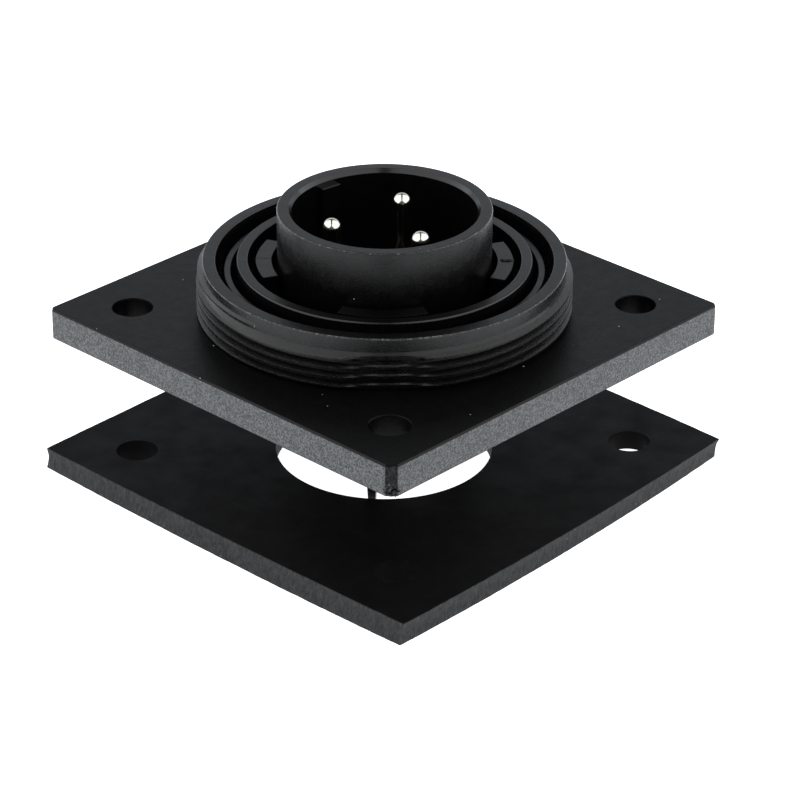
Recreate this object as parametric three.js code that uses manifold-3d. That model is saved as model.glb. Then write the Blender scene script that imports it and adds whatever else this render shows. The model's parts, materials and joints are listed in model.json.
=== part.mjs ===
// Flange-mount circular power connector with three pins, and the loose rubber gasket for its flange.
// Millimetres, +Z along the connector's axis towards the mating end. The origin is on the axis, in the plane that
// the connector's rear feet and the gasket stand on. The flange's edges run along X and Y.

import * as THREE from 'three';
import { mergeVertices } from 'three/addons/utils/BufferGeometryUtils.js';
import Module from 'manifold-3d';

const wasm = await Module();
wasm.setup();

// Driving dimensions.
const FLANGE_SIDE = 48;
const FLANGE_THICKNESS = 3.4;
const GATE_CORNER_CUT = 0.9; // of the corner where the moulding's gate was
const FLANGE_CORNER_CUT = 0.5;
const FIXING_PITCH = 36;
const FIXING_HOLE_RADIUS = 2.05;
const REAR_DEPTH = 14.95; // from the feet up to the flange's rear face

const THREAD_RADIUS = 19; // M38 x 1
const THREAD_PITCH = 1;
const THREAD_DEPTH = 0.62;
const THREAD_RIDGES = 4;
const THREAD_START = 0.4; // from the flange's front face up to the first crest
const RIDGE_ROOT_WIDTH = 0.72;
const RIDGE_CREST_WIDTH = 0.12;
const COLLAR_HEIGHT = 5.5;
const COLLAR_BORE = 17;

const RIB_INNER = 15.45;
const RIB_OUTER = 16.2;
const RIB_HEIGHT = 4.35;
const WALL_INNER = 13.75;
const WALL_OUTER = 14.9;
const GROOVE_FLOOR = 0.3; // above the flange's front face
const FINGER_FLOOR = 0.6; // below the flange's front face

const FINGER_COUNT = 4;
const FINGER_INNER = 11.3;
const FINGER_OUTER = 12.9;
const FINGER_HEIGHT = 5.2;
const FINGER_SPAN = 41; // degrees
const FINGER_FIRST = -47; // degrees

const SPIGOT_RADIUS = 11;
const SPIGOT_BORE = 9.75;
const SPIGOT_DEPTH = 4.1;
const SEAT_DEPTH = 1.5; // from the flange's front face down to the insert's seat
const SEAT_WEB = 1.6; // from the flange's front face down to the top of the web under the fingers

const BARREL_RADIUS = 10.8;
const BARREL_BORE = 9.3;
const BARREL_HEIGHT = 10.95;
const BARREL_FLOOR = 1; // below the flange's front face
const BARREL_EDGE = 0.15;
const LEAD_IN_WIDTH = 0.25;
const LEAD_IN_DEPTH = 0.35;
const INSERT_COLLAR_RADIUS = 11.85;
const INSERT_COLLAR_HEIGHT = 2;
const STEM_RADIUS = 9.65;
const STEM_LENGTH = 4.5;
const KEY_ANGLE = 173; // degrees
const KEY_WIDTH = 2.3;
const KEY_DEPTH = 0.85;
const KEY_BELOW_RIM = 0.75;

const O_RING_THICKNESS = 1.6;
const O_RING_GROOVE = 1.3;

const PIN_COUNT = 3;
const PIN_FIRST = 115; // degrees
const PIN_RADIUS = 1;
const PIN_CIRCLE = 5.4;
const PIN_TOP = 10.2; // above the flange's front face
const SHOULDER_RADIUS = 2.6;
const SHOULDER_THICKNESS = 0.9;
const POST_RADIUS = 2.1;
const POST_FLAT = 0.9; // from the pin's axis out to the face that the wire lies on
const POST_RECESS = 0.2; // from the terminal block's rear face in to the post's end
const POST_NECK = 0.6; // the full-round length under the shoulder
const PIN_TIP_STEPS = 5;
const SEAL_RADIUS = 1.95;
const SEAL_THICKNESS = 1.1;

const SCREW_RADIUS = 1.25; // M2.5
const SCREW_HEAD_RADIUS = 2;
const SCREW_HEAD_THICKNESS = 1.3;
const SCREW_HEAD_EDGE = 0.25;
const SCREW_SLOT = 0.5;
const SCREW_SLOT_DEPTH = 0.6;
const SCREW_POINT = 0.3;
const TERMINAL_SCREW_END = 1.6; // past the pin's axis
const PLATE_WIDTH = 3.8;
const PLATE_THICKNESS = 0.7;
const TERMINAL_HEIGHT = 8.05; // of the clamp screws' axes above the feet

const BLOCK_RADIUS = 9.6;
const BLOCK_BOTTOM = 5.45;
const COUNTERBORE_DEPTH = 2.5;
const POCKET_GAP = 0.25;
const POCKET_ROOF = 0.5;
const BLOCK_SCREW_COVER = 1.5; // of the barrel's floor over the screw's end
const BLOCK_SCREW_ROOM = 0.5; // left in the hole past the screw's end
const FOOT_CIRCLE = 8.6;
const FOOT_FIRST = 66; // degrees
const FOOT_TIP = 0.7;
const FOOT_ROOT = 1.4;
const FOOT_DEPTH = 1.1;

const GASKET_SIDE = 50.4;
const GASKET_THICKNESS = 2.2;
const GASKET_CORNER_CUT = 0.5;
const GASKET_BORE = 11.15;
const GASKET_HOLE_RADIUS = 2.15;
const GASKET_TURN = 1.4; // degrees, as the loose gasket lies

const CLEARANCE = 0.1;
const REST_GAP = 0.05;
const BORE_ALLOWANCE = 0.03;
const OVERLAP = 0.5; // of solids that are joined
const OVERCUT = 1; // of cutters, past the face they cut
const LARGE_SIDES = 48;
const SMALL_SIDES = 20;
const ARC_STEPS = 6;

// Derived heights.
const FLANGE_REAR = REAR_DEPTH;
const FLANGE_FRONT = REAR_DEPTH + FLANGE_THICKNESS;
const SEAT = FLANGE_FRONT - SEAT_DEPTH;
const COLLAR_BASE = SEAT + REST_GAP;
const COLLAR_TOP = COLLAR_BASE + INSERT_COLLAR_HEIGHT;
const STEM_END = COLLAR_BASE - STEM_LENGTH;
const SHOULDER_TOP = STEM_END - REST_GAP;
const SHOULDER_BASE = SHOULDER_TOP - SHOULDER_THICKNESS;
const SEAL_TOP = SHOULDER_TOP + REST_GAP + SEAL_THICKNESS;
const BLOCK_TOP = SHOULDER_TOP - REST_GAP;
const BARREL_BASE = FLANGE_FRONT - BARREL_FLOOR;
const BARREL_RIM = FLANGE_FRONT + BARREL_HEIGHT;
const O_RING_MIDDLE = (COLLAR_BASE + STEM_END) / 2;
const TURN = 2 * Math.PI;

const radians = (degrees) => (degrees * Math.PI) / 180;
const pinAngle = (index) => radians(PIN_FIRST + (index * 360) / PIN_COUNT);

// Materials.
function material(color, roughness, metalness) {
  return new THREE.MeshStandardMaterial({ color, roughness, metalness });
}
const blackMoulding = material(0x1b1c1e, 0.62, 0);
const blackRubber = material(0x0f0f0f, 0.8, 0);
const sealRubber = material(0x23201e, 0.7, 0);
const nickel = material(0xd9d6cf, 0.18, 1);
const zincSteel = material(0xb5b7ba, 0.35, 1);

// Boolean work: geometries go in and out as closed solids.
function solid(geometry) {
  const bare = geometry.clone();
  bare.deleteAttribute('normal');
  bare.deleteAttribute('uv');
  const merged = mergeVertices(bare, 1e-5);
  const index = merged.index.array;
  const triangles = [];
  for (let i = 0; i < index.length; i += 3) {
    const [a, b, c] = index.slice(i, i + 3);
    if (a !== b && b !== c && c !== a) triangles.push(a, b, c);
  }
  return new wasm.Manifold(new wasm.Mesh({
    numProp: 3,
    vertProperties: merged.attributes.position.array,
    triVerts: new Uint32Array(triangles),
  }));
}

function geometryOf(body) {
  const mesh = body.getMesh();
  const geometry = new THREE.BufferGeometry();
  geometry.setAttribute('position', new THREE.BufferAttribute(mesh.vertProperties, 3));
  geometry.setIndex(new THREE.BufferAttribute(mesh.triVerts, 1));
  return geometry;
}

function join(bodies) {
  return bodies.reduce((total, body) => total.add(body));
}

function cut(body, cutters) {
  return cutters.reduce((rest, cutter) => rest.subtract(cutter), body);
}

// A body of revolution about Z. The outline lists [radius, height] pairs and is closed for the caller, either on
// itself or, where it starts and ends on the axis, along the axis.
function turned(outline, segments) {
  const points = outline.map(([radius, height]) => new THREE.Vector2(radius, height));
  if (THREE.ShapeUtils.area(points) < 0) points.reverse();
  const onAxis = points[0].x === 0 && points[points.length - 1].x === 0;
  if (!onAxis) points.push(points[0].clone());
  return solid(new THREE.LatheGeometry(points, segments).rotateX(Math.PI / 2));
}

function tube(inner, outer, bottom, top, segments) {
  return turned([[inner, bottom], [outer, bottom], [outer, top], [inner, top]], segments);
}

function rod(radius, bottom, top, segments) {
  return turned([[0, bottom], [radius, bottom], [radius, top], [0, top]], segments);
}

// A plate cut from an outline in the XY plane, from one height up to another.
function plate(shape, bottom, top) {
  const geometry = new THREE.ExtrudeGeometry(shape, {
    depth: top - bottom,
    bevelEnabled: false,
    curveSegments: ARC_STEPS,
  });
  return solid(geometry.translate(0, 0, bottom));
}

function block(low, high) {
  const size = high.map((value, axis) => value - low[axis]);
  const geometry = new THREE.BoxGeometry(...size);
  return solid(geometry.translate(...low.map((value, axis) => value + size[axis] / 2)));
}

// A square with its corners cut off. The corner at +X, -Y can have a cut of its own.
function squareWithCutCorners(side, cornerCut, gateCut) {
  const half = side / 2;
  const near = half - cornerCut;
  const nearGate = half - gateCut;
  const corners = [
    [nearGate, -half], [half, -nearGate], [half, near], [near, half],
    [-near, half], [-half, near], [-half, -near], [-near, -half],
  ];
  return new THREE.Shape(corners.map(([x, y]) => new THREE.Vector2(x, y)));
}

function roundHole(x, y, radius, sides) {
  const points = [];
  for (let side = 0; side < sides; side += 1) {
    const angle = (-side / sides) * TURN;
    points.push(new THREE.Vector2(x + radius * Math.cos(angle), y + radius * Math.sin(angle)));
  }
  return new THREE.Path(points);
}

// The square outline that the flange and the gasket share: a centre opening and four fixing holes.
function fixingOutline(side, cornerCut, gateCut, openingRadius, holeRadius) {
  const shape = squareWithCutCorners(side, cornerCut, gateCut);
  shape.holes.push(roundHole(0, 0, openingRadius, LARGE_SIDES));
  for (const x of [-FIXING_PITCH / 2, FIXING_PITCH / 2]) {
    for (const y of [-FIXING_PITCH / 2, FIXING_PITCH / 2]) {
      shape.holes.push(roundHole(x, y, holeRadius, SMALL_SIDES));
    }
  }
  return shape;
}

// An arc-shaped sector between two radii, centred on an angle in radians.
function sector(inner, outer, angle, span, bottom, top) {
  const from = angle - span / 2;
  const to = angle + span / 2;
  const shape = new THREE.Shape();
  shape.absarc(0, 0, outer, from, to, false);
  shape.absarc(0, 0, inner, to, from, true);
  return plate(shape, bottom, top);
}

// The flange body: the square flange, the threaded collar, the ring wall and rib, the fingers and the rear spigot.
function collarOutline() {
  const root = THREAD_RADIUS - THREAD_DEPTH;
  const outline = [
    [SPIGOT_BORE, FLANGE_REAR - SPIGOT_DEPTH],
    [SPIGOT_RADIUS, FLANGE_REAR - SPIGOT_DEPTH],
    [SPIGOT_RADIUS, FLANGE_FRONT - FLANGE_THICKNESS / 2],
    [root, FLANGE_FRONT - FLANGE_THICKNESS / 2],
    [root, FLANGE_FRONT],
  ];
  for (let ridge = 0; ridge < THREAD_RIDGES; ridge += 1) {
    const crest = FLANGE_FRONT + THREAD_START + ridge * THREAD_PITCH;
    outline.push([root, crest - RIDGE_ROOT_WIDTH / 2]);
    outline.push([THREAD_RADIUS, crest - RIDGE_CREST_WIDTH / 2]);
    outline.push([THREAD_RADIUS, crest + RIDGE_CREST_WIDTH / 2]);
    outline.push([root, crest + RIDGE_ROOT_WIDTH / 2]);
  }
  const rim = FLANGE_FRONT + COLLAR_HEIGHT;
  const grooveFloor = FLANGE_FRONT + GROOVE_FLOOR;
  const fingerFloor = FLANGE_FRONT - FINGER_FLOOR;
  const seatRadius = INSERT_COLLAR_RADIUS + CLEARANCE;
  outline.push(
    [root, rim],
    [COLLAR_BORE, rim],
    [COLLAR_BORE, grooveFloor],
    [RIB_OUTER, grooveFloor],
    [RIB_OUTER, FLANGE_FRONT + RIB_HEIGHT],
    [RIB_INNER, FLANGE_FRONT + RIB_HEIGHT],
    [RIB_INNER, grooveFloor],
    [WALL_OUTER, grooveFloor],
    [WALL_OUTER, rim],
    [WALL_INNER, rim],
    [WALL_INNER, fingerFloor],
    [seatRadius, fingerFloor],
    [seatRadius, SEAT],
    [SPIGOT_BORE, SEAT],
  );
  return outline;
}

// A finger stands outside the insert's collar and hooks in over its top.
function finger(index) {
  const angle = radians(FINGER_FIRST + (index * 360) / FINGER_COUNT);
  const span = radians(FINGER_SPAN);
  const hookBase = COLLAR_TOP + CLEARANCE;
  const stemInner = INSERT_COLLAR_RADIUS + 1.5 * CLEARANCE;
  const root = FLANGE_FRONT - FINGER_FLOOR - OVERLAP;
  const stem = sector(stemInner, FINGER_OUTER, angle, span, root, hookBase + OVERLAP);
  const hook = sector(FINGER_INNER, FINGER_OUTER, angle, span, hookBase, FLANGE_FRONT + FINGER_HEIGHT);
  return stem.add(hook);
}

function flangeBody() {
  const opening = (WALL_INNER + WALL_OUTER) / 2;
  const outline = fixingOutline(FLANGE_SIDE, FLANGE_CORNER_CUT, GATE_CORNER_CUT, opening, FIXING_HOLE_RADIUS);
  const flange = plate(outline, FLANGE_REAR, FLANGE_FRONT);
  const web = tube(SPIGOT_RADIUS - OVERLAP, WALL_OUTER, FLANGE_REAR, FLANGE_FRONT - SEAT_WEB, LARGE_SIDES);
  const fingers = Array.from({ length: FINGER_COUNT }, (_, index) => finger(index));
  return join([flange, web, turned(collarOutline(), LARGE_SIDES), ...fingers]);
}

// The insert: the open barrel with its key, the collar that the fingers hold, the floor and the sealed stem.
function pinHole(index, radius, bottom, top) {
  const x = PIN_CIRCLE * Math.cos(pinAngle(index));
  const y = PIN_CIRCLE * Math.sin(pinAngle(index));
  return rod(radius, bottom, top, SMALL_SIDES).translate([x, y, 0]);
}

function contactInsert() {
  const grooveBase = O_RING_MIDDLE - O_RING_THICKNESS / 2 - CLEARANCE;
  const grooveTop = O_RING_MIDDLE + O_RING_THICKNESS / 2 + CLEARANCE;
  const body = turned([
    [0, STEM_END],
    [STEM_RADIUS, STEM_END],
    [STEM_RADIUS, grooveBase],
    [STEM_RADIUS - O_RING_GROOVE, grooveBase],
    [STEM_RADIUS - O_RING_GROOVE, grooveTop],
    [STEM_RADIUS, grooveTop],
    [STEM_RADIUS, COLLAR_BASE],
    [INSERT_COLLAR_RADIUS, COLLAR_BASE],
    [INSERT_COLLAR_RADIUS, COLLAR_TOP],
    [BARREL_RADIUS, COLLAR_TOP],
    [BARREL_RADIUS, BARREL_RIM - BARREL_EDGE],
    [BARREL_RADIUS - BARREL_EDGE, BARREL_RIM],
    [BARREL_BORE + LEAD_IN_WIDTH, BARREL_RIM],
    [BARREL_BORE, BARREL_RIM - LEAD_IN_DEPTH],
    [BARREL_BORE, BARREL_BASE],
    [0, BARREL_BASE],
  ], LARGE_SIDES);
  const key = block(
    [BARREL_BORE - KEY_DEPTH, -KEY_WIDTH / 2, BARREL_BASE - OVERLAP],
    [(BARREL_BORE + BARREL_RADIUS) / 2, KEY_WIDTH / 2, BARREL_RIM - KEY_BELOW_RIM],
  ).rotate([0, 0, KEY_ANGLE]);
  const screwHoleEnd = BARREL_BASE - BLOCK_SCREW_COVER + BLOCK_SCREW_ROOM;
  const cutters = [rod(SCREW_RADIUS + BORE_ALLOWANCE, STEM_END - OVERCUT, screwHoleEnd, SMALL_SIDES)];
  for (let index = 0; index < PIN_COUNT; index += 1) {
    cutters.push(pinHole(index, PIN_RADIUS + BORE_ALLOWANCE, STEM_END - OVERCUT, BARREL_BASE + OVERCUT));
    cutters.push(pinHole(index, SEAL_RADIUS + CLEARANCE, STEM_END - OVERCUT, SEAL_TOP));
  }
  return cut(body.add(key), cutters);
}

// A squeezed O-ring: an eight-sided section between two radii.
function seal(inner, outer, middle, thickness, segments) {
  const width = outer - inner;
  const half = thickness / 2;
  return turned([
    [inner, middle - half / 2], [inner + width / 4, middle - half],
    [outer - width / 4, middle - half], [outer, middle - half / 2],
    [outer, middle + half / 2], [outer - width / 4, middle + half],
    [inner + width / 4, middle + half], [inner, middle + half / 2],
  ], segments);
}

function insertORing() {
  const inner = STEM_RADIUS - O_RING_GROOVE + BORE_ALLOWANCE;
  const outer = SPIGOT_BORE - BORE_ALLOWANCE;
  return seal(inner, outer, O_RING_MIDDLE, O_RING_THICKNESS, LARGE_SIDES);
}

function pinSeal() {
  const middle = SHOULDER_TOP + REST_GAP + SEAL_THICKNESS / 2;
  return seal(PIN_RADIUS + BORE_ALLOWANCE, SEAL_RADIUS, middle, SEAL_THICKNESS - 2 * REST_GAP, SMALL_SIDES);
}

// A contact: the round pin, its shoulder, and the flat-faced terminal post with the tapped hole for its screw.
// It is made on the Z axis with its clamping face towards +X.
function contact() {
  const tip = FLANGE_FRONT + PIN_TOP;
  const postEnd = BLOCK_BOTTOM + POST_RECESS;
  const outline = [
    [0, postEnd],
    [POST_RADIUS, postEnd],
    [POST_RADIUS, SHOULDER_BASE],
    [SHOULDER_RADIUS, SHOULDER_BASE],
    [SHOULDER_RADIUS, SHOULDER_TOP],
    [PIN_RADIUS, SHOULDER_TOP],
  ];
  for (let step = 0; step <= PIN_TIP_STEPS; step += 1) {
    const angle = (step / PIN_TIP_STEPS) * (Math.PI / 2);
    const radius = step === PIN_TIP_STEPS ? 0 : PIN_RADIUS * Math.cos(angle);
    outline.push([radius, tip - PIN_RADIUS + PIN_RADIUS * Math.sin(angle)]);
  }
  const face = block(
    [POST_FLAT, -POST_RADIUS - OVERCUT, BLOCK_BOTTOM - OVERCUT],
    [POST_RADIUS + OVERCUT, POST_RADIUS + OVERCUT, SHOULDER_BASE - POST_NECK],
  );
  const reach = POST_RADIUS + OVERCUT;
  const tapped = alongX(rod(SCREW_RADIUS + BORE_ALLOWANCE, -reach, reach, SMALL_SIDES));
  return cut(turned(outline, SMALL_SIDES), [face, tapped]);
}

// Turns a body made on the Z axis so that it lies along X at the height of the clamp screws.
function alongX(body) {
  return body.rotate([0, 90, 0]).translate([0, 0, TERMINAL_HEIGHT]);
}

function clampPlate() {
  const near = POST_FLAT + REST_GAP;
  const half = PLATE_WIDTH / 2;
  const body = block(
    [near, -half, TERMINAL_HEIGHT - half],
    [near + PLATE_THICKNESS, half, TERMINAL_HEIGHT + half],
  );
  const hole = alongX(rod(SCREW_RADIUS + CLEARANCE, 0, 2 * POST_RADIUS, SMALL_SIDES));
  return body.subtract(hole);
}

function terminalScrew() {
  const headBase = POST_FLAT + 2 * REST_GAP + PLATE_THICKNESS;
  const headTop = headBase + SCREW_HEAD_THICKNESS;
  const shank = turned([
    [0, -TERMINAL_SCREW_END],
    [SCREW_RADIUS - SCREW_POINT, -TERMINAL_SCREW_END],
    [SCREW_RADIUS, SCREW_POINT - TERMINAL_SCREW_END],
    [SCREW_RADIUS, headBase],
    [SCREW_HEAD_RADIUS, headBase],
    [SCREW_HEAD_RADIUS, headTop - SCREW_HEAD_EDGE],
    [SCREW_HEAD_RADIUS - SCREW_HEAD_EDGE, headTop],
    [0, headTop],
  ], SMALL_SIDES);
  return alongX(shank.subtract(screwSlot(headTop - SCREW_SLOT_DEPTH, headTop + OVERCUT)));
}

function screwSlot(bottom, top) {
  const reach = SCREW_HEAD_RADIUS + OVERCUT;
  return block([-reach, -SCREW_SLOT / 2, bottom], [reach, SCREW_SLOT / 2, top]);
}

// The terminal block: a disc behind the insert that traps the contacts' shoulders, with a pocket round each post
// and clamp, walls between the pockets, and three tapered feet.
function terminalPocket(index) {
  const wide = POST_RADIUS + 2 * CLEARANCE;
  const halfWindow = SCREW_HEAD_RADIUS + POCKET_GAP;
  const bottom = BLOCK_BOTTOM - OVERCUT;
  const top = BLOCK_TOP + OVERCUT;
  const window = block([0, -halfWindow, bottom], [BLOCK_RADIUS, halfWindow, SHOULDER_BASE - POCKET_ROOF]);
  const bore = rod(wide, bottom, top, SMALL_SIDES);
  const recess = rod(SHOULDER_RADIUS + CLEARANCE, SHOULDER_BASE - REST_GAP, top, SMALL_SIDES);
  const degrees = PIN_FIRST + (index * 360) / PIN_COUNT;
  return join([window, bore, recess]).translate([PIN_CIRCLE, 0, 0]).rotate([0, 0, degrees]);
}

function foot(index) {
  const root = BLOCK_BOTTOM + OVERLAP;
  const corners = [[-FOOT_TIP / 2, 0], [FOOT_TIP / 2, 0], [FOOT_ROOT / 2, root], [-FOOT_ROOT / 2, root]];
  const section = new THREE.Shape(corners.map(([x, y]) => new THREE.Vector2(x, y)));
  const geometry = new THREE.ExtrudeGeometry(section, { depth: FOOT_DEPTH, bevelEnabled: false });
  geometry.rotateX(Math.PI / 2).rotateZ(Math.PI / 2).translate(FOOT_CIRCLE - FOOT_DEPTH / 2, 0, 0);
  return solid(geometry).rotate([0, 0, FOOT_FIRST + (index * 360) / PIN_COUNT]);
}

function terminalBlock() {
  const body = rod(BLOCK_RADIUS, BLOCK_BOTTOM, BLOCK_TOP, LARGE_SIDES);
  const headRoom = SCREW_HEAD_RADIUS + CLEARANCE;
  const cutters = [
    rod(SCREW_RADIUS + CLEARANCE, BLOCK_BOTTOM - OVERCUT, BLOCK_TOP + OVERCUT, SMALL_SIDES),
    rod(headRoom, BLOCK_BOTTOM - OVERCUT, BLOCK_BOTTOM + COUNTERBORE_DEPTH, SMALL_SIDES),
  ];
  for (let index = 0; index < PIN_COUNT; index += 1) cutters.push(terminalPocket(index));
  const feet = Array.from({ length: PIN_COUNT }, (_, index) => foot(index));
  return join([cut(body, cutters), ...feet]);
}

function blockScrew() {
  const headTop = BLOCK_BOTTOM + COUNTERBORE_DEPTH - REST_GAP;
  const headBase = headTop - SCREW_HEAD_THICKNESS;
  const end = BARREL_BASE - BLOCK_SCREW_COVER;
  const shank = turned([
    [0, headBase],
    [SCREW_HEAD_RADIUS - SCREW_HEAD_EDGE, headBase],
    [SCREW_HEAD_RADIUS, headBase + SCREW_HEAD_EDGE],
    [SCREW_HEAD_RADIUS, headTop],
    [SCREW_RADIUS, headTop],
    [SCREW_RADIUS, end - SCREW_POINT],
    [SCREW_RADIUS - SCREW_POINT, end],
    [0, end],
  ], SMALL_SIDES);
  return shank.subtract(screwSlot(headBase - OVERCUT, headBase + SCREW_SLOT_DEPTH));
}

// The flange gasket, cut from sheet rubber.
function flangeGasket() {
  const cornerCut = GASKET_CORNER_CUT;
  const outline = fixingOutline(GASKET_SIDE, cornerCut, cornerCut, GASKET_BORE, GASKET_HOLE_RADIUS);
  return plate(outline, 0, GASKET_THICKNESS);
}

// The assembly.
function add(parent, name, body, look) {
  const mesh = new THREE.Mesh(geometryOf(body), look);
  mesh.name = name;
  parent.add(mesh);
  return mesh;
}

const connector = new THREE.Group();
add(connector, 'flange_body', flangeBody(), blackMoulding);
add(connector, 'contact_insert', contactInsert(), blackMoulding);
add(connector, 'insert_o_ring', insertORing(), sealRubber);
add(connector, 'terminal_block', terminalBlock(), blackMoulding);
add(connector, 'block_screw', blockScrew(), zincSteel);

for (let index = 0; index < PIN_COUNT; index += 1) {
  const pole = new THREE.Group();
  pole.position.set(PIN_CIRCLE * Math.cos(pinAngle(index)), PIN_CIRCLE * Math.sin(pinAngle(index)), 0);
  pole.rotation.z = pinAngle(index);
  add(pole, `contact_${index + 1}`, contact(), nickel);
  add(pole, `pin_seal_${index + 1}`, pinSeal(), sealRubber);
  add(pole, `clamp_plate_${index + 1}`, clampPlate(), zincSteel);
  add(pole, `terminal_screw_${index + 1}`, terminalScrew(), zincSteel);
  connector.add(pole);
}

const gasket = add(connector, 'flange_gasket', flangeGasket(), blackRubber);
gasket.rotation.z = radians(GASKET_TURN);

export default connector;
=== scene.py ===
"""A panel-mount circular connector and its loose gasket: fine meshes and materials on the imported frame."""

import json
import math

import bmesh
import bpy
import numpy as np
from mathutils import Matrix, Vector, noise
from mathutils.geometry import tessellate_polygon


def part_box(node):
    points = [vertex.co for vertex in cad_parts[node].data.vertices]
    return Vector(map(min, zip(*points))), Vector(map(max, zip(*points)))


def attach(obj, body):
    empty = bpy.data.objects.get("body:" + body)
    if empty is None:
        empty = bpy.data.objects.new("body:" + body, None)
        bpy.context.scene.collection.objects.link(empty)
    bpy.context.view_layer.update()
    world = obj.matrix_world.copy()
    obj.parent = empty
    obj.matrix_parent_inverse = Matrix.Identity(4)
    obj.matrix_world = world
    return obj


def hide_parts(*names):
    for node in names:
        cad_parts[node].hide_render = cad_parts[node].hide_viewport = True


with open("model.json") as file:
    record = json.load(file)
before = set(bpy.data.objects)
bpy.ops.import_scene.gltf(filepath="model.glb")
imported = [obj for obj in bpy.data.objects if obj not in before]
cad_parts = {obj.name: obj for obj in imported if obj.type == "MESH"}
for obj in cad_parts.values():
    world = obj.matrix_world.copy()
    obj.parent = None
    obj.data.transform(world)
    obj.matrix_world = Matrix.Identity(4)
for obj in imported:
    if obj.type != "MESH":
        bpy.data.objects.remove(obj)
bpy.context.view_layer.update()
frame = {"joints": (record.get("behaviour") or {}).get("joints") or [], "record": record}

# Pieces are built in millimetres and scaled to metres when they are finished.
MM = 0.001
TURN = 2 * math.pi
RECORD = frame["record"]
MOUNTS = {mount["name"]: mount["pos_m"] for mount in RECORD["mounts"]}
JOINTS = {joint["name"]: joint for joint in frame["joints"]}
BODY_OF = {node: body for body, nodes in RECORD["behaviour"]["bodies"].items() for node in nodes}


def lowest(node):
    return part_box(node)[0] / MM


def highest(node):
    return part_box(node)[1] / MM


# Heights and sizes that the frame gives.
FLANGE_FRONT = MOUNTS["flange_front"][2] / MM
FLANGE_REAR = MOUNTS["panel_face"][2] / MM
FLANGE_HALF = highest("flange_body").x
COLLAR_RIM = highest("flange_body").z
SPIGOT_END = lowest("flange_body").z
BARREL_RIM = highest("contact_insert").z
STEM_END = lowest("contact_insert").z
INSERT_COLLAR_RADIUS = highest("contact_insert").x
PIN_TIP = highest("contact_1").z
POST_END = lowest("contact_1").z
BLOCK_TOP = highest("terminal_block").z
GASKET_TOP = highest("flange_gasket").z
TERMINAL_HEIGHT = JOINTS["screw_1_turn"]["pos_m"][2] / MM
POLES = (1, 2, 3)

# The flange.
CORNER_CUT = 0.5
GATE_CORNER_CUT = 0.9
FIXING_HALF_PITCH = 18
FIXING_HOLE_RADIUS = 2.05
FLANGE_EDGE = 0.26
FLANGE_CORNER_RADIUS = 0.18
HOLE_EDGE_SHARE = 0.4

# The collar and what stands inside it.
THREAD_PITCH = 1
THREAD_CREST = 18.98
THREAD_ROOT = 18.32
CREST_HALF_WIDTH = 0.07
ROOT_HALF_WIDTH = 0.36
FRONT_ANGLE = math.radians(-45)
FRONT_CREST = FLANGE_FRONT + 3.4
LEAD_IN_TOP = FRONT_CREST + 0.55
RUNOUT_FROM = math.radians(215)
RUNOUT_TO = math.radians(272)
RELIEF_DISTANCE = 18.42
PARTING_LINE_HALF = math.radians(0.12)
PARTING_LINE_HEIGHT = 0.03
RIM_EDGE = 0.14
FINE_EDGE = 0.12
SEAT_EDGE = 0.08
SPIGOT_EDGE = 0.15
FILLET = 0.2
COLLAR_BORE = 17
RIB_OUTER = 16.2
RIB_INNER = 15.45
RIB_TOP = FLANGE_FRONT + 4.35
WALL_OUTER = 14.9
WALL_INNER = 13.75
GROOVE_FLOOR = FLANGE_FRONT + 0.3
FINGER_FLOOR = FLANGE_FRONT - 0.6
FINGER_OUTER = 12.9
FINGER_INNER = 11.3
FINGER_TOP = FLANGE_FRONT + 5.2
FINGER_SPAN = math.radians(41)
FINGER_STEPS = 12
FINGER_CORNER = 0.16
FINGER_ANGLES = [math.radians(-47 + 90 * index) for index in range(4)]
SPIGOT_RADIUS = 11
SPIGOT_BORE = 9.75
SEAT = FLANGE_FRONT - 1.5

# The insert.
BARREL_RADIUS = 10.8
BARREL_BORE = 9.3
BARREL_FLOOR = FLANGE_FRONT - 1
RIM_CHAMFER_WIDTH = 0.32
RIM_CHAMFER_DEPTH = 0.42
INSERT_SHOULDER = SEAT + 0.05
INSERT_COLLAR_TOP = INSERT_SHOULDER + 2
STEM_RADIUS = 9.65
O_RING_RADIUS = 0.8
O_RING_GROOVE = 1.3
GROOVE_MIDDLE = (INSERT_SHOULDER + STEM_END) / 2
KEY_ANGLE = math.radians(173)
KEY_HALF_WIDTH = 1.15
KEY_INNER = 8.45
KEY_TOP = BARREL_RIM - 0.75

# The contacts and terminals.
PIN_RADIUS = 1
PIN_CIRCLE = 5.4
PIN_ANGLES = {pole: math.radians(115 + 120 * (pole - 1)) for pole in POLES}
SHOULDER_RADIUS = 2.6
SHOULDER_THICKNESS = 0.9
SHOULDER_TOP = STEM_END - 0.05
SHOULDER_BASE = SHOULDER_TOP - SHOULDER_THICKNESS
POST_RADIUS = 2.1
POST_FLAT = 0.9
POST_FLAT_DROP = 0.6
SEAL_RADIUS = 1.95
SEAL_TOP = STEM_END + 1.1
SCREW_RADIUS = 1.25
SCREW_ROOT = 0.98
SCREW_PITCH = 0.45
SCREW_END = -1.6
HEAD_RADIUS = 2
HEAD_THICKNESS = 1.3
SLOT_WIDTH = 0.5
SLOT_DEPTH = 0.6
PLATE_HALF = 1.9
PLATE_THICKNESS = 0.7
SERRATION_PITCH = 0.5
SERRATION_HALF = 0.2
SERRATION_DEPTH = 0.12
POST_RECESS = 0.2
BLOCK_RADIUS = 9.6
BLOCK_BOTTOM = POST_END - POST_RECESS
POCKET_HALF = HEAD_RADIUS + 0.25
COUNTERBORE_DEPTH = 2.5
FOOT_CIRCLE = 8.6
FOOT_ANGLES = [math.radians(66 + 120 * index) for index in range(3)]

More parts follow.
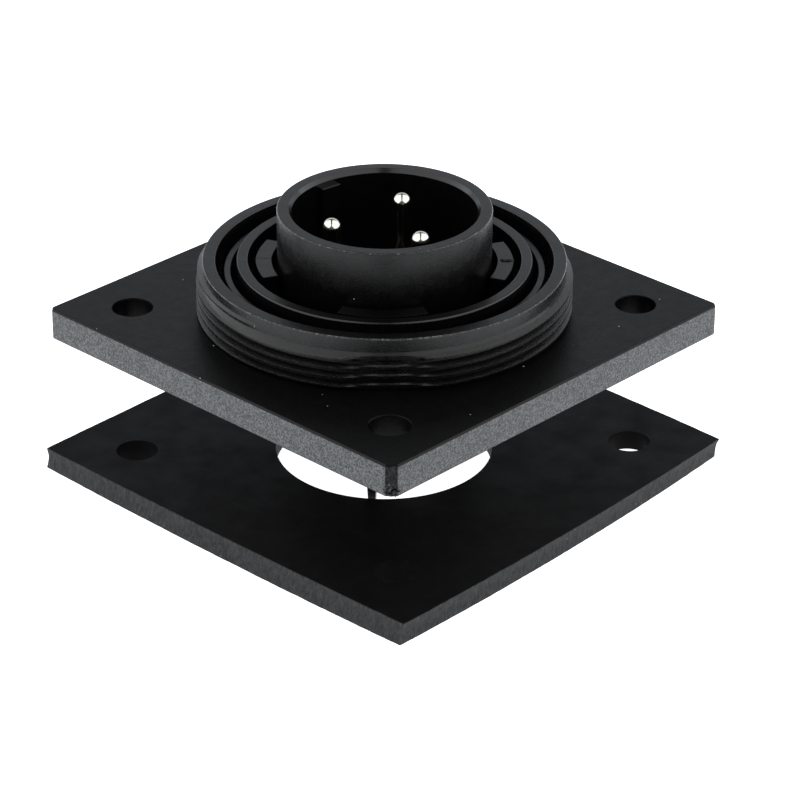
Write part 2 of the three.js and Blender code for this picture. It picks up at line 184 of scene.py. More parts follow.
# The gasket.
GASKET_HALF = 25.2
GASKET_TURN = math.radians(1.4)
GASKET_BORE = 11.15
GASKET_HOLE_RADIUS = 2.15
GASKET_HOLE_TAPER = 0.06
GASKET_SIDE_STEPS = 140
# How far the sides -Y, +X, +Y and -X stand out from a true square, each at its start, middle and end.
GASKET_TOP_SIDES = [(-1.15, -0.55, -0.45), (-0.05, 0.28, -0.55), (-0.35, 0.4, 0.0), (0.0, 0.1, 0.1)]
GASKET_BOTTOM_SIDES = [(-0.95, -0.05, 0.05), (-0.05, 0.28, -0.9), (-0.6, 0.2, 0.0), (0.0, 0.0, -0.05)]
# (share of the way down, how far the cut edge is drawn in)
GASKET_LEVELS = [
    (1.0, 0.06), (0.96, 0.0), (0.8, 0.05), (0.6, 0.1), (0.42, 0.12),
    (0.25, 0.09), (0.1, 0.03), (0.03, 0.0), (0.0, 0.04),
]
# How far each hole, by the signs of its x and y, leans towards the back corner at the underside.
GASKET_HOLE_LEANS = {(1, 1): 0.28, (1, -1): -0.65, (-1, -1): -0.3, (-1, 1): 0.0}

# Wear, gaps and how finely the meshes are divided.
TORN_HEIGHT = 1.5
RUBBED_DEPTH = 0.25
GAP = 0.1
TIGHT_GAP = 0.03
OVERCUT = 1
OVERLAP = 0.5
MERGE = 2e-4
SAME_HEIGHT = 0.01
TORN_NORMAL = 0.06
# Limits on the upward part of a face's normal.
FLAT_NORMAL = 0.9995
EVEN_NORMAL = 0.99
LEVEL_NORMAL = 0.97
UPWARD_NORMAL = 0.5
UPRIGHT_NORMAL = 0.2
SLOPING_NORMAL = 0.15
# Columns round a turned piece.
FINE = 360
ROUND = 96
SMALL = 48

# The view and the light.
VIEW_DISTANCE = 352.8
VIEW_AZIMUTH = math.radians(43.458)
VIEW_ELEVATION = math.radians(27.945)
VIEW_ROLL = math.radians(0.338)
VIEW_SHIFT = (1.579, -9.541)
VIEW_RIGHT = Vector((math.cos(VIEW_AZIMUTH), math.sin(VIEW_AZIMUTH), 0))
VIEW_BACK = Vector((math.sin(VIEW_AZIMUTH), -math.cos(VIEW_AZIMUTH), 0))
LENS = 156.83
TABLE_HALF = 3000
TABLE_GLOW = 1.05
SOFTBOX_RADIANCE = 1.4
SOFTBOX_GAP = 55
BACK_RADIANCE = 0.75
FRONT_RADIANCE = 0.06
ZENITH_RADIANCE = 0.05
BEHIND_RANGE = (-0.3, 0.75)
RISE_RANGE = (0.45, 0.75)
ROOM_TINT = (0.95, 1.0, 1.07)

# Colours and gloss.
# The cool tint of the painted sheen on the moulding's grain, taken from the white table's light.
SHEEN_TINT = (0.93, 1.0, 1.04)
IOR = 1.5


# Outlines and meshes.
def rounded(corners, steps=4):
    """A closed outline from (x, y, radius) corners, each turned on an arc of its radius."""
    points = []
    for index, (x, y, radius) in enumerate(corners):
        here = Vector((x, y))
        if radius == 0:
            points.append((x, y))
            continue
        before = (Vector(corners[index - 1][:2]) - here).normalized()
        after = (Vector(corners[(index + 1) % len(corners)][:2]) - here).normalized()
        half = before.angle(after) / 2
        centre = here + (before + after).normalized() * (radius / math.sin(half))
        start = here + before * (radius / math.tan(half)) - centre
        end = here + after * (radius / math.tan(half)) - centre
        first = math.atan2(start.y, start.x)
        sweep = (math.atan2(end.y, end.x) - first + math.pi) % TURN - math.pi
        for step in range(steps + 1):
            angle = first + sweep * step / steps
            points.append((centre.x + radius * math.cos(angle), centre.y + radius * math.sin(angle)))
    return points


def added(name, data):
    """A new object in the scene."""
    item = bpy.data.objects.new(name, data)
    bpy.context.scene.collection.objects.link(item)
    return item


def mesh_piece(name, points, faces):
    """An object from points and faces, with doubled points merged and faces pointing out."""
    mesh = bpy.data.meshes.new(name)
    mesh.from_pydata([tuple(point) for point in points], [], faces)
    work = bmesh.new()
    work.from_mesh(mesh)
    bmesh.ops.remove_doubles(work, verts=work.verts, dist=MERGE)
    bmesh.ops.recalc_face_normals(work, faces=work.faces)
    work.to_mesh(mesh)
    work.free()
    return added(name, mesh)


def band(low, high, count):
    """The faces between two closed loops of points, each given by its first point's number."""
    return [(low + i, low + (i + 1) % count, high + (i + 1) % count, high + i) for i in range(count)]


def swept(name, rows, angles, closed_rows):
    """A surface of rows round the Z axis. A row is (radius, height), each a number or one value per angle."""
    columns = len(angles)
    points = []
    for radius, height in rows:
        radius = np.broadcast_to(radius, columns)
        height = np.broadcast_to(height, columns)
        points.extend(zip(radius * np.cos(angles), radius * np.sin(angles), height))
    pairs = [(row, row + 1) for row in range(len(rows) - 1)]
    if closed_rows:
        pairs.append((len(rows) - 1, 0))
    faces = []
    for low, high in pairs:
        faces.extend(band(low * columns, high * columns, columns)[:-1])
    return mesh_piece(name, points, faces)


def full_turn(columns, start=0.0):
    return start + np.linspace(0, TURN, columns + 1)


def turned(name, outline, columns=ROUND):
    """A body of revolution. An outline that starts on the axis is closed along the axis."""
    return swept(name, outline, full_turn(columns), closed_rows=outline[0][0] > 0)


def stacked(name, levels):
    """A solid from levels of (height, outlines): the outer outline first, then its holes."""
    points, faces, starts = [], [], []
    for height, outlines in levels:
        starts.append([])
        for outline in outlines:
            starts[-1].append(len(points))
            points.extend((x, y, height) for x, y in outline)
    for lower, upper in zip(starts, starts[1:]):
        for outline, low, high in zip(levels[0][1], lower, upper):
            faces.extend(band(low, high, len(outline)))
    for end in (0, -1):
        height, outlines = levels[end]
        loops = [[Vector((x, y, height)) for x, y in outline] for outline in outlines]
        first = starts[end][0]
        faces.extend(tuple(first + corner for corner in face) for face in tessellate_polygon(loops))
    return mesh_piece(name, points, faces)


def edge_levels(bottom, top, radius, steps=6):
    """(height, inset) pairs up the side of a plate whose two edges are rounded."""
    quarter = [math.pi / 2 * step / steps for step in range(steps + 1)]
    lower = [(bottom + radius * (1 - math.cos(a)), radius * (1 - math.sin(a))) for a in quarter]
    upper = [(top - radius * (1 - math.cos(a)), radius * (1 - math.sin(a))) for a in reversed(quarter)]
    return lower + upper


def circle(x, y, radius, sides):
    return [
        (x + radius * math.cos(TURN * side / sides), y + radius * math.sin(TURN * side / sides))
        for side in range(sides)
    ]


def cut_square(half, corner_cut, gate_cut, inset, corner_radius):
    """A square outline with cut corners, moved in by an inset. The corner at +X, -Y has a cut of its own."""
    far = half - inset
    near = half - corner_cut - inset * (math.sqrt(2) - 1)
    gate = half - gate_cut - inset * (math.sqrt(2) - 1)
    corners = [
        (gate, -far), (far, -gate), (far, near), (near, far),
        (-near, far), (-far, near), (-far, -near), (-near, -far),
    ]
    return rounded([(x, y, corner_radius) for x, y in corners], steps=3)


def prism(name, outline, bottom, top):
    return stacked(name, [(bottom, [outline]), (top, [outline])])


def box_piece(name, low, high):
    outline = [(low[0], low[1]), (high[0], low[1]), (high[0], high[1]), (low[0], high[1])]
    return prism(name, outline, low[2], high[2])


def rod(name, radius, bottom, top, columns=SMALL):
    return turned(name, [(0, bottom), (radius, bottom), (radius, top), (0, top)], columns)


def moved(piece, matrix):
    piece.data.transform(matrix)
    return piece


def turned_to(piece, angle, radius=0.0):
    """Moves a piece made at the axis out to a radius and round to an angle."""
    return moved(piece, Matrix.Rotation(angle, 4, "Z") @ Matrix.Translation((radius, 0, 0)))


def laid_along_x(piece):
    """Turns a piece made on the Z axis so that it lies along X at the terminals' height."""
    return moved(piece, Matrix.Translation((0, 0, TERMINAL_HEIGHT)) @ Matrix.Rotation(math.pi / 2, 4, "Y"))


def applied(piece):
    """Replaces a piece's mesh by what its modifiers make of it."""
    graph = bpy.context.evaluated_depsgraph_get()
    mesh = bpy.data.meshes.new_from_object(piece.evaluated_get(graph))
    piece.modifiers.clear()
    piece.data = mesh
    return piece


def softened(piece, width, angle=35, segments=2):
    """Rounds a piece's edges that are sharper than an angle in degrees."""
    bevel = piece.modifiers.new("soften", "BEVEL")
    bevel.width = width
    bevel.segments = segments
    bevel.limit_method = "ANGLE"
    bevel.angle_limit = math.radians(angle)
    bevel.harden_normals = False
    return applied(piece)


def combined(base, operation, others):
    """Joins other pieces to a base, or cuts them from it."""
    for other in others:
        modifier = base.modifiers.new("combine", "BOOLEAN")
        modifier.operation = operation
        modifier.solver = "MANIFOLD"
        modifier.object = other
        applied(base)
        bpy.data.objects.remove(other)
    return base


def lump(name, centre, radii, roughness, seed, columns=28):
    """A rough rounded lump: an ellipsoid whose surface is moved by noise."""
    points, faces = [], []
    rows = columns // 2
    for row in range(rows + 1):
        polar = math.pi * row / rows
        for column in range(columns):
            angle = TURN * column / columns
            across = math.sin(polar)
            direction = Vector((across * math.cos(angle), across * math.sin(angle), math.cos(polar)))
            size = 1 + roughness * noise.fractal(direction * 2.3 + Vector((seed, 0, 0)), 1.0, 2.0, 3)
            points.append(tuple(centre[axis] + radii[axis] * size * direction[axis] for axis in range(3)))
    for row in range(rows):
        faces.extend(band(row * columns, (row + 1) * columns, columns))
    return mesh_piece(name, points, faces)


# Threads.
def thread_rows(angles, bottom, top, pitch, first_crest, marks, radius_at):
    """Rows that climb with a right-hand thread and stop at two heights. A crest stands at first_crest at the
    first angle, and marks are the heights in one pitch, from its crest, that get a row of their own."""
    climb = pitch * (angles - angles[0]) / TURN
    first_turn = math.floor((bottom - first_crest) / pitch) - 2
    last_turn = math.ceil((top - first_crest) / pitch) + 1
    rows = []
    for turn in range(first_turn, last_turn + 1):
        for mark in marks:
            height = np.clip(first_crest + turn * pitch + mark + climb, bottom, top)
            rows.append((radius_at(angles, height), height))
    return rows


def ridge(distance, crest_half_width, root_half_width):
    """The share of a thread ridge's depth at a distance from its crest: 1 on the crest, 0 at its root."""
    return np.clip((root_half_width - distance) / (root_half_width - crest_half_width), 0, 1)


def lead_in(height, crest):
    """The slope from the last crest up to the plain band under the rim, as a share of the thread's depth."""
    length = np.maximum(LEAD_IN_TOP - crest, ROOT_HALF_WIDTH)
    above = height - crest
    return np.where(above > 0, np.clip((length - above) / (length - CREST_HALF_WIDTH), 0, 1), 0)


def collar_radius(angles, height):
    """The collar's outside: a thread with a lead-in under the rim, flattened at the two parting lines."""
    crest = FRONT_CREST + THREAD_PITCH * (angles - FRONT_ANGLE) / TURN
    turns = np.round((height - crest) / THREAD_PITCH)
    share = ridge(np.abs(height - crest - turns * THREAD_PITCH), CREST_HALF_WIDTH, ROOT_HALF_WIDTH)
    runout = np.clip((RUNOUT_TO - angles) / (RUNOUT_TO - RUNOUT_FROM), 0, 1)
    share = np.where(turns > 0, 0, np.where(turns == 0, share * runout, share))
    share = np.maximum(share, lead_in(height, crest) * runout)
    share = np.maximum(share, lead_in(height, crest - THREAD_PITCH) * (1 - runout))
    radius = THREAD_ROOT + (THREAD_CREST - THREAD_ROOT) * share
    from_parting = (angles - FRONT_ANGLE + math.pi / 2) % math.pi - math.pi / 2
    flat = RELIEF_DISTANCE / np.cos(from_parting)
    line = np.where(np.abs(from_parting) < PARTING_LINE_HALF, PARTING_LINE_HEIGHT, 0)
    return np.minimum(radius, flat) + line


def collar_angles():
    """Columns for the collar: an even turn from the front, with fine ones at the raised parting lines."""
    even = full_turn(FINE, FRONT_ANGLE)
    partings = (FRONT_ANGLE, FRONT_ANGLE + math.pi, FRONT_ANGLE + TURN)
    steps = (-2, -1.05, -0.95, 0.95, 1.05, 2)
    fine = [parting + step * PARTING_LINE_HALF for parting in partings for step in steps]
    inside = [angle for angle in fine if FRONT_ANGLE < angle < FRONT_ANGLE + TURN]
    return np.sort(np.concatenate((even, inside)))


def screw_shank(name, bottom, top):
    """A threaded rod with a pointed lower end."""
    crest_half, middle, root_half = (share * SCREW_PITCH for share in (0.12, 0.28, 0.45))
    point_radius = SCREW_ROOT - 0.05

    def radius_at(angles, height):
        crest = bottom + SCREW_PITCH * angles / TURN
        turns = np.round((height - crest) / SCREW_PITCH)
        share = ridge(np.abs(height - crest - turns * SCREW_PITCH), crest_half, root_half)
        radius = SCREW_ROOT + (SCREW_RADIUS - SCREW_ROOT) * share
        return np.minimum(radius, point_radius + (height - bottom))

    angles = full_turn(SMALL)
    marks = [-root_half, -middle, -crest_half, crest_half, middle, root_half]
    rows = thread_rows(angles, bottom, top, SCREW_PITCH, bottom, marks, radius_at)
    return swept(name, [(0, bottom), *rows, (0, top)], angles, closed_rows=False)


# Materials.
class Graph:
    """A node tree in the making."""

    def __init__(self, tree):
        self.nodes = tree.nodes
        self.links = tree.links

    def add(self, kind, operation=None):
        """A new node of a kind, set to an operation if it has one."""
        node = self.nodes.new("ShaderNode" + kind)
        if operation:
            node.operation = operation
        return node

    def feed(self, node, name, value):
        """Sets a node's input to a constant or links it to another node's output."""
        socket = node.inputs[name]
        if isinstance(value, bpy.types.NodeSocket):
            self.links.new(value, socket)
        else:
            socket.default_value = value

    def remap(self, value, low, high, to_low, to_high, interpolation="LINEAR"):
        node = self.add("MapRange")
        node.interpolation_type = interpolation
        for name, number in (("From Min", low), ("From Max", high), ("To Min", to_low), ("To Max", to_high)):
            self.feed(node, name, number)
        self.feed(node, "Value", value)
        return node.outputs["Result"]

    def math(self, operation, first, second):
        node = self.add("Math", operation)
        self.feed(node, 0, first)
        self.feed(node, 1, second)
        return node.outputs["Value"]


class Look(Graph):
    """A node material in the making. Its textures are laid out in millimetres on the object."""

    def __init__(self, name):
        self.material = bpy.data.materials.new(name)
        self.material.use_nodes = True
        super().__init__(self.material.node_tree)
        self.nodes.clear()
        output = self.add("OutputMaterial")
        self.shader = self.add("BsdfPrincipled")
        self.feed(output, "Surface", self.shader.outputs["BSDF"])
        scale = self.add("VectorMath", "SCALE")
        self.feed(scale, 0, self.add("TexCoord").outputs["Object"])
        self.feed(scale, "Scale", 1 / MM)
        self.place = scale.outputs["Vector"]

    def noise(self, size, detail=2.0, roughness=0.5, stretch=(1, 1, 1)):
        node = self.add("TexNoise")
        where = self.place
        if stretch != (1, 1, 1):
            product = self.add("VectorMath", "MULTIPLY")
            self.feed(product, 0, self.place)
            self.feed(product, 1, stretch)
            where = product.outputs["Vector"]
        self.feed(node, "Vector", where)
        self.feed(node, "Scale", 1 / size)
        self.feed(node, "Detail", detail)
        self.feed(node, "Roughness", roughness)
        return node.outputs["Fac"]

    def specks(self, spacing, radius, share):
        """1 on sparse round specks: close to a cell's point, in a share of the cells of a random pattern."""
        node = self.add("TexVoronoi")
        self.feed(node, "Vector", self.place)
        self.feed(node, "Scale", 1 / spacing)
        near = self.remap(node.outputs["Distance"], radius / spacing, 0.6 * radius / spacing, 0, 1)
        channels = self.add("SeparateColor")
        self.feed(channels, "Color", node.outputs["Color"])
        chosen = self.math("LESS_THAN", channels.outputs["Red"], share)
        return self.math("MULTIPLY", near, chosen)

    def colours(self, factor, first, second):
        node = self.add("Mix")
        node.data_type = "RGBA"
        self.feed(node, "Factor", factor)
        for name, value in (("A", first), ("B", second)):
            socket = next(s for s in node.inputs if s.name == name and s.type == "RGBA")
            if isinstance(value, bpy.types.NodeSocket):
                self.links.new(value, socket)
            else:
                socket.default_value = (*value, 1)
        return next(s for s in node.outputs if s.type == "RGBA")

    def relief(self, height, depth, below=None):
        """Bumps of a depth in millimetres, on top of the relief below."""
        node = self.add("Bump")
        self.feed(node, "Distance", depth * MM)
        self.feed(node, "Height", height)
        if below is not None:
            self.feed(node, "Normal", below)
        return node.outputs["Normal"]

    def finish(self, **inputs):
        for name, value in inputs.items():
            self.feed(self.shader, name.replace("_", " "), value)
        return self.material


def grey(level):
    return (level, level, level * 1.03)


def moulding(name, roughness, grain, depth, dust=0.012, grain_sheen=0.0, wear=0.0, gloss=0.5):
    """Black moulded plastic with a spark-eroded grain of a size and depth in millimetres. The tops of the
    grain can be lightened towards a pale cool grey as a painted sheen, and wear turns patches of it grey, as
    on an edge that has been rubbed."""
    look = Look("moulding_" + name)
    fine = look.noise(grain, detail=3.0, roughness=0.6)
    broad = look.noise(4.0, detail=2.0)
    specks = look.specks(1.0, 0.08, dust)
    # Painted sheen: the tops of the grain are lightened towards a pale cool grey that stands in for the light
    # they catch.
    tops = look.remap(fine, 0.42, 0.62, 0, 1)
    pale = tuple(0.0018 + grain_sheen * tint for tint in SHEEN_TINT)
    base = look.colours(tops, look.colours(broad, grey(0.0010), grey(0.0018)), pale)
    rubbed = look.remap(look.noise(0.3, detail=5.0, roughness=0.75), 0.5, 0.68, 0, wear)
    base = look.colours(rubbed, base, (0.20, 0.205, 0.21))
    worn = look.remap(look.noise(1.3, detail=4.0), 0.35, 0.7, roughness - 0.04, roughness + 0.04)
    normal = look.relief(fine, depth, look.relief(broad, 0.02))
    return look.finish(
        Base_Color=look.colours(specks, base, (0.5, 0.5, 0.48)),
        Roughness=look.remap(specks, 0, 1, worn, 0.9),
        Normal=normal,
        IOR=IOR,
        Specular_IOR_Level=gloss,
    )


def rubber_face():
    """The calendered face of sheet rubber: nearly black, a little wavy, with dust on it. On the walls of the
    gasket's fixing holes it is painted shade.
    """
    look = Look("gasket_face_and_hole_shade")
    waves = look.noise(6.0, detail=3.0)
    pores = look.noise(0.25, detail=3.0, roughness=0.7)
    specks = look.specks(1.1, 0.06, 0.05)
    haze = look.remap(look.noise(2.2, detail=5.0, roughness=0.65), 0.5, 0.75, 0, 0.012)
    base = look.colours(haze, (0.0035, 0.0034, 0.0036), (0.2, 0.2, 0.2))
    normal = look.relief(pores, 0.008, look.relief(waves, 0.06))
    return look.finish(
        Base_Color=look.colours(specks, base, (0.16, 0.16, 0.155)),
        Roughness=look.remap(look.noise(3.0, detail=4.0), 0.3, 0.7, 0.42, 0.6),
        Normal=normal,
        IOR=IOR,
        Specular_IOR_Level=0.06,
    )


def rubber_cut():
    """The die-cut edge of sheet rubber: greyer, with torn pores and pale dust."""
    look = Look("gasket_cut_edge")
    drag = look.noise(0.35, detail=4.0, roughness=0.7, stretch=(1, 1, 0.45))
    pores = look.noise(0.16, detail=3.0, roughness=0.75)
    specks = look.specks(0.55, 0.06, 0.10)
    base = look.colours(look.remap(drag, 0.35, 0.7, 0, 1), (0.008, 0.008, 0.008), (0.034, 0.035, 0.037))
    normal = look.relief(pores, 0.05, look.relief(drag, 0.1))
    return look.finish(
        Base_Color=look.colours(specks, base, (0.3, 0.3, 0.29)),
        Roughness=look.remap(pores, 0.3, 0.7, 0.62, 0.85),
        Normal=normal,
        IOR=IOR,
        Specular_IOR_Level=0.32,
    )


def seal_rubber():
    """The smooth moulded rubber of the O-rings."""
    look = Look("seal_rubber")
    haze = look.noise(0.8, detail=3.0)
    return look.finish(
        Base_Color=look.colours(haze, (0.012, 0.011, 0.010), (0.022, 0.020, 0.019)),
        Roughness=look.remap(haze, 0.3, 0.7, 0.38, 0.52),
        Normal=look.relief(look.noise(0.2), 0.004),
        IOR=IOR,
    )


def nickel():
    """Bright nickel plate over turned brass."""
    look = Look("contact_nickel")
    turning = look.noise(0.12, detail=2.0, stretch=(0.05, 0.05, 1))
    stain = look.noise(1.5, detail=4.0)
    return look.finish(
        Base_Color=look.colours(stain, (0.80, 0.77, 0.71), (0.70, 0.665, 0.60)),
        Metallic=1.0,
        Roughness=look.remap(stain, 0.3, 0.7, 0.09, 0.15),
        Normal=look.relief(turning, 0.001),
    )


def zinc():
    """Zinc plate on steel, bright with a slight bluish cloudiness."""
    look = Look("zinc_steel")
    cloud = look.noise(1.1, detail=4.0)
    rolling = look.noise(0.1, detail=2.0, stretch=(1, 1, 0.15))
    return look.finish(
        Base_Color=look.colours(cloud, (0.62, 0.63, 0.64), (0.50, 0.52, 0.55)),
        Metallic=1.0,
        Roughness=look.remap(cloud, 0.3, 0.7, 0.24, 0.38),
        Normal=look.relief(rolling, 0.003),
    )


SATIN = moulding("satin", roughness=0.38, grain=0.16, depth=0.022, dust=0.06, gloss=0.10)
# The flange's sides: spark-eroded grain with a painted sheen on the tops of its grain.
SPARKED_WITH_SHEEN = moulding("sparked_with_sheen", roughness=0.42, grain=0.18, depth=0.085, dust=0.0, grain_sheen=0.095)
RIMS = moulding("rims", roughness=0.27, grain=0.12, depth=0.010, dust=0.08, gloss=0.2)
FILLETS = moulding("fillets", roughness=0.25, grain=0.12, depth=0.008, dust=0.03)
EDGES = moulding("rubbed_edges", roughness=0.4, grain=0.12, depth=0.02, dust=0.05, wear=0.8)
FLANKS = moulding("thread_flanks", roughness=0.36, grain=0.2, depth=0.055, dust=0.05, gloss=0.45)
WALLS = moulding("walls", roughness=0.27, grain=0.15, depth=0.022, dust=0.06, gloss=0.34)
# The front corner's flat: spark-eroded grain with a faint painted sheen on its tops.
CORNER = moulding("corner", roughness=0.4, grain=0.22, depth=0.04, dust=0.05, grain_sheen=0.02, gloss=0.10)
SMOOTH = moulding("smooth", roughness=0.22, grain=0.30, depth=0.002, dust=0.004)
GASKET_FACE_AND_HOLE_SHADE = rubber_face()
GASKET_CUT = rubber_cut()
SEAL = seal_rubber()
NICKEL = nickel()
ZINC = zinc()


# Finishing.
def shaded(piece, smooth_angle):
    """Smooths a piece's shading over edges flatter than an angle, weighted by area. Level faces keep a level
    normal right up to their edges, and a fillet that runs into one takes that normal there."""
    piece.data.shade_smooth()
    piece.data.set_sharp_from_angle(angle=smooth_angle)
    weighted = piece.modifiers.new("weighted", "WEIGHTED_NORMAL")
    weighted.keep_sharp = True
    mesh = applied(piece).data
    level = {}
    for face in mesh.polygons:
        if abs(face.normal.z) >= FLAT_NORMAL:
            for vertex in face.vertices:
                level.setdefault(vertex, set()).add(math.copysign(1, face.normal.z))
    normals = [corner.vector.copy() for corner in mesh.corner_normals]
    for face in mesh.polygons:
        for corner in face.loop_indices:
            for sign in level.get(mesh.loops[corner].vertex_index, ()):
                if sign * face.normal.z > math.cos(smooth_angle):
                    normals[corner] = Vector((0, 0, sign))
    mesh.normals_split_custom_set(normals)


def finished(piece, node, finishes, smooth_angle=28):
    """Scales a piece to metres, gives its faces their materials and puts it in the place of its CAD node.
    finishes lists (material, test), and a face takes the first whose test of its centre and normal passes."""
    piece.data.materials.clear()
    for material, _ in finishes:
        piece.data.materials.append(material)
    for face in piece.data.polygons:
        tests = enumerate(test for _, test in finishes)
        face.material_index = next(index for index, test in tests if test(face.center, face.normal))
    shaded(piece, math.radians(smooth_angle))
    piece.data.transform(Matrix.Scale(MM, 4))
    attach(piece, BODY_OF[node])
    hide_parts(node)
    return piece


def everywhere(centre, normal):
    return True


def all_of(material):
    return [(material, everywhere)]


def from_axis(point):
    return math.hypot(point.x, point.y)


# The flange body.
def flange_plate():
    levels = []
    for height, inset in edge_levels(FLANGE_REAR, FLANGE_FRONT, FLANGE_EDGE):
        outlines = [cut_square(FLANGE_HALF, CORNER_CUT, GATE_CORNER_CUT, inset, FLANGE_CORNER_RADIUS)]
        outlines.append(circle(0, 0, (WALL_INNER + WALL_OUTER) / 2, FINE))
        for x in (-FIXING_HALF_PITCH, FIXING_HALF_PITCH):
            for y in (-FIXING_HALF_PITCH, FIXING_HALF_PITCH):
                outlines.append(circle(x, y, FIXING_HOLE_RADIUS + HOLE_EDGE_SHARE * inset, ROUND))
        levels.append((height, outlines))
    return stacked("flange_body_fine", levels)


def collar():
    """The threaded collar with the ring wall and rib inside it, and the spigot behind."""
    angles = collar_angles()
    marks = [-share * ROOT_HALF_WIDTH for share in (1, 0.93, 0.6)] + [-CREST_HALF_WIDTH]
    marks += [-mark for mark in reversed(marks)]
    buried = (FLANGE_FRONT + FLANGE_REAR) / 2
    thread_foot = FLANGE_FRONT - 0.2
    outer = thread_rows(
        angles, thread_foot, COLLAR_RIM - RIM_EDGE, THREAD_PITCH, FRONT_CREST, marks, collar_radius
    )
    insert_room = INSERT_COLLAR_RADIUS + GAP
    section = rounded([
        (THREAD_ROOT, COLLAR_RIM, RIM_EDGE), (COLLAR_BORE, COLLAR_RIM, FINE_EDGE),
        (COLLAR_BORE, GROOVE_FLOOR, FILLET), (RIB_OUTER, GROOVE_FLOOR, FILLET),
        (RIB_OUTER, RIB_TOP, RIM_EDGE), (RIB_INNER, RIB_TOP, RIM_EDGE),
        (RIB_INNER, GROOVE_FLOOR, FINE_EDGE), (WALL_OUTER, GROOVE_FLOOR, FINE_EDGE),
        (WALL_OUTER, COLLAR_RIM, FILLET), (WALL_INNER, COLLAR_RIM, FINE_EDGE),
        (WALL_INNER, FINGER_FLOOR, SPIGOT_EDGE), (insert_room, FINGER_FLOOR, SEAT_EDGE),
        (insert_room, SEAT, SEAT_EDGE), (SPIGOT_BORE, SEAT, 0.1),
        (SPIGOT_BORE, SPIGOT_END, SPIGOT_EDGE), (SPIGOT_RADIUS, SPIGOT_END, 0.25),
        (SPIGOT_RADIUS, FLANGE_REAR, SPIGOT_EDGE), (WALL_OUTER, FLANGE_REAR, 0),
        (WALL_OUTER, buried, 0), (THREAD_ROOT, buried, 0),
    ])
    return swept("collar", outer + section, angles, closed_rows=True)


def finger(angle):
    """A finger in an arc with a slight corner at its middle, hooked in over the insert's collar."""
    stem = INSERT_COLLAR_RADIUS + 1.9 * GAP
    root = FINGER_FLOOR - OVERLAP
    hook = INSERT_COLLAR_TOP + GAP
    section = [
        (stem, root), (FINGER_OUTER, root), (FINGER_OUTER, FINGER_TOP),
        (FINGER_INNER, FINGER_TOP), (FINGER_INNER, hook), (stem, hook),
    ]
    points = []
    for step in range(FINGER_STEPS + 1):
        share = 2 * step / FINGER_STEPS - 1
        station = angle + share * FINGER_SPAN / 2
        corner = FINGER_CORNER * (0.5 - abs(share))
        points.extend(
            ((radius + corner) * math.cos(station), (radius + corner) * math.sin(station), height)
            for radius, height in section
        )
    count = len(section)
    faces = [tuple(range(count)), tuple(range(FINGER_STEPS * count, (FINGER_STEPS + 1) * count))]
    for row in range(FINGER_STEPS):
        faces.extend(band(row * count, (row + 1) * count, count))
    return softened(mesh_piece("finger", points, faces), 0.07)


def finger_marks():
    """A parting line across the left finger and a broken gate on the right one."""
    middle = (FINGER_INNER + FINGER_OUTER) / 2
    line_half, line_depth = 0.03, 0.05
    line = box_piece(
        "line", (middle - 1, -line_half, FINGER_TOP - line_depth), (middle + 1, line_half, FINGER_TOP + 1)
    )
    gate_radii, pit_radii = (0.62, 0.22, 0.1), (0.25, 0.16, 0.14)
    gate = lump("gate", (middle + 0.1, 0, FINGER_TOP), gate_radii, 0.9, seed=3.1)
    pit = lump("pit", (middle + 0.35, 0.1, FINGER_TOP + 0.05), pit_radii, 0.7, seed=7.7)
    left, right = FINGER_ANGLES[3], FINGER_ANGLES[1]
    return turned_to(line, left), turned_to(gate, right), turned_to(pit, right)


def corner_gate():
    """The torn-off moulding gate at the foot of the front corner's flat: a hollow and torn lumps round it."""
    face = (FLANGE_HALF - GATE_CORNER_CUT / 2) * math.sqrt(2)
    middle = FLANGE_REAR + TORN_HEIGHT / 2
    hollow_radii = (0.34, 0.75, 0.55)
    hollow = lump("hollow", (face + 0.12, 0, middle), hollow_radii, 1.0, seed=1.3, columns=44)
    count, ring_radius, sunk = 9, 0.62, 0.14
    torn = []
    for index in range(count):
        angle = TURN * index / count + 0.4
        place = (face - sunk, ring_radius * math.cos(angle), middle + ring_radius * math.sin(angle))
        size = 0.13 + 0.09 * noise.noise(Vector((index * 1.7, 0, 0)))
        torn.append(lump("torn", place, (size, 1.3 * size, size), 1.3, seed=index + 4.2))
    return turned_to(hollow, FRONT_ANGLE), [turned_to(piece, FRONT_ANGLE) for piece in torn]


